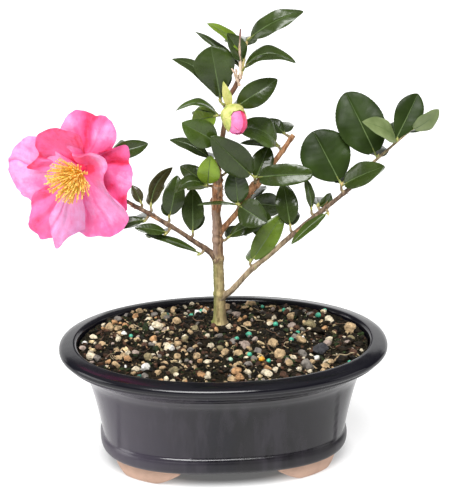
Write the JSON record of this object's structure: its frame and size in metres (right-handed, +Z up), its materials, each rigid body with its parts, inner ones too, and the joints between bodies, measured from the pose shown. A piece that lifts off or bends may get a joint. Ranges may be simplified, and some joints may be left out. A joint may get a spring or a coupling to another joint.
{
  "type": "potted camellia bonsai",
  "caption": "Young flowering camellia bonsai with glossy oval leaves, a wide open bloom and a bud, in an oval glazed pot on low clay feet.",
  "frame": {"origin": "on the ground under the middle of the pot, at the bottom centre of the whole plant's box", "axes": "+Z up; +X along the pot's long side, towards the end of the long right bough; -Y is the front, the side the bloom faces"},
  "size_m": [0.2613, 0.143, 0.2807],
  "materials": {
    "glaze": "gloss",
    "clay": "matte",
    "soil": "matte",
    "bark": "matte",
    "leaf": "satin",
    "petal": "satin",
    "stamen": "matte",
    "sepal": "satin"
  },
  "bodies": {
    "root": {"pot": "glaze", "foot_front_left": "clay", "foot_front_right": "clay", "foot_back_left": "clay", "foot_back_right": "clay", "soil": "soil", "trunk": "bark", "bough_right": "bark", "bough_left": "bark", "bough_middle": "bark", "bloom": "petal", "stamens": "stamen", "bud": "petal", "bud_cup": "sepal", "leaves_bloom": "leaf", "leaves_bud": "leaf", "leaves_crown_left": "leaf", "leaves_crown_right": "leaf", "leaves_crown_tip": "leaf", "leaves_heart": "leaf", "leaves_heart_low": "leaf", "leaves_left_end": "leaf", "leaves_left_first": "leaf", "leaves_left_low": "leaf", "leaves_left_second": "leaf", "leaves_left_third": "leaf", "leaves_left_tip": "leaf", "leaves_left_under": "leaf", "leaves_middle_back": "leaf", "leaves_middle_front": "leaf", "leaves_middle_high": "leaf", "leaves_middle_low": "leaf", "leaves_middle_tip": "leaf", "leaves_right_back": "leaf", "leaves_right_foot": "leaf", "leaves_right_fork": "leaf", "leaves_right_inner": "leaf", "leaves_right_low": "leaf", "leaves_right_mid": "leaf", "leaves_right_tip": "leaf", "leaves_trunk_left": "leaf", "leaves_trunk_low": "leaf", "leaves_trunk_right": "leaf"}
  },
  "joints": []
}
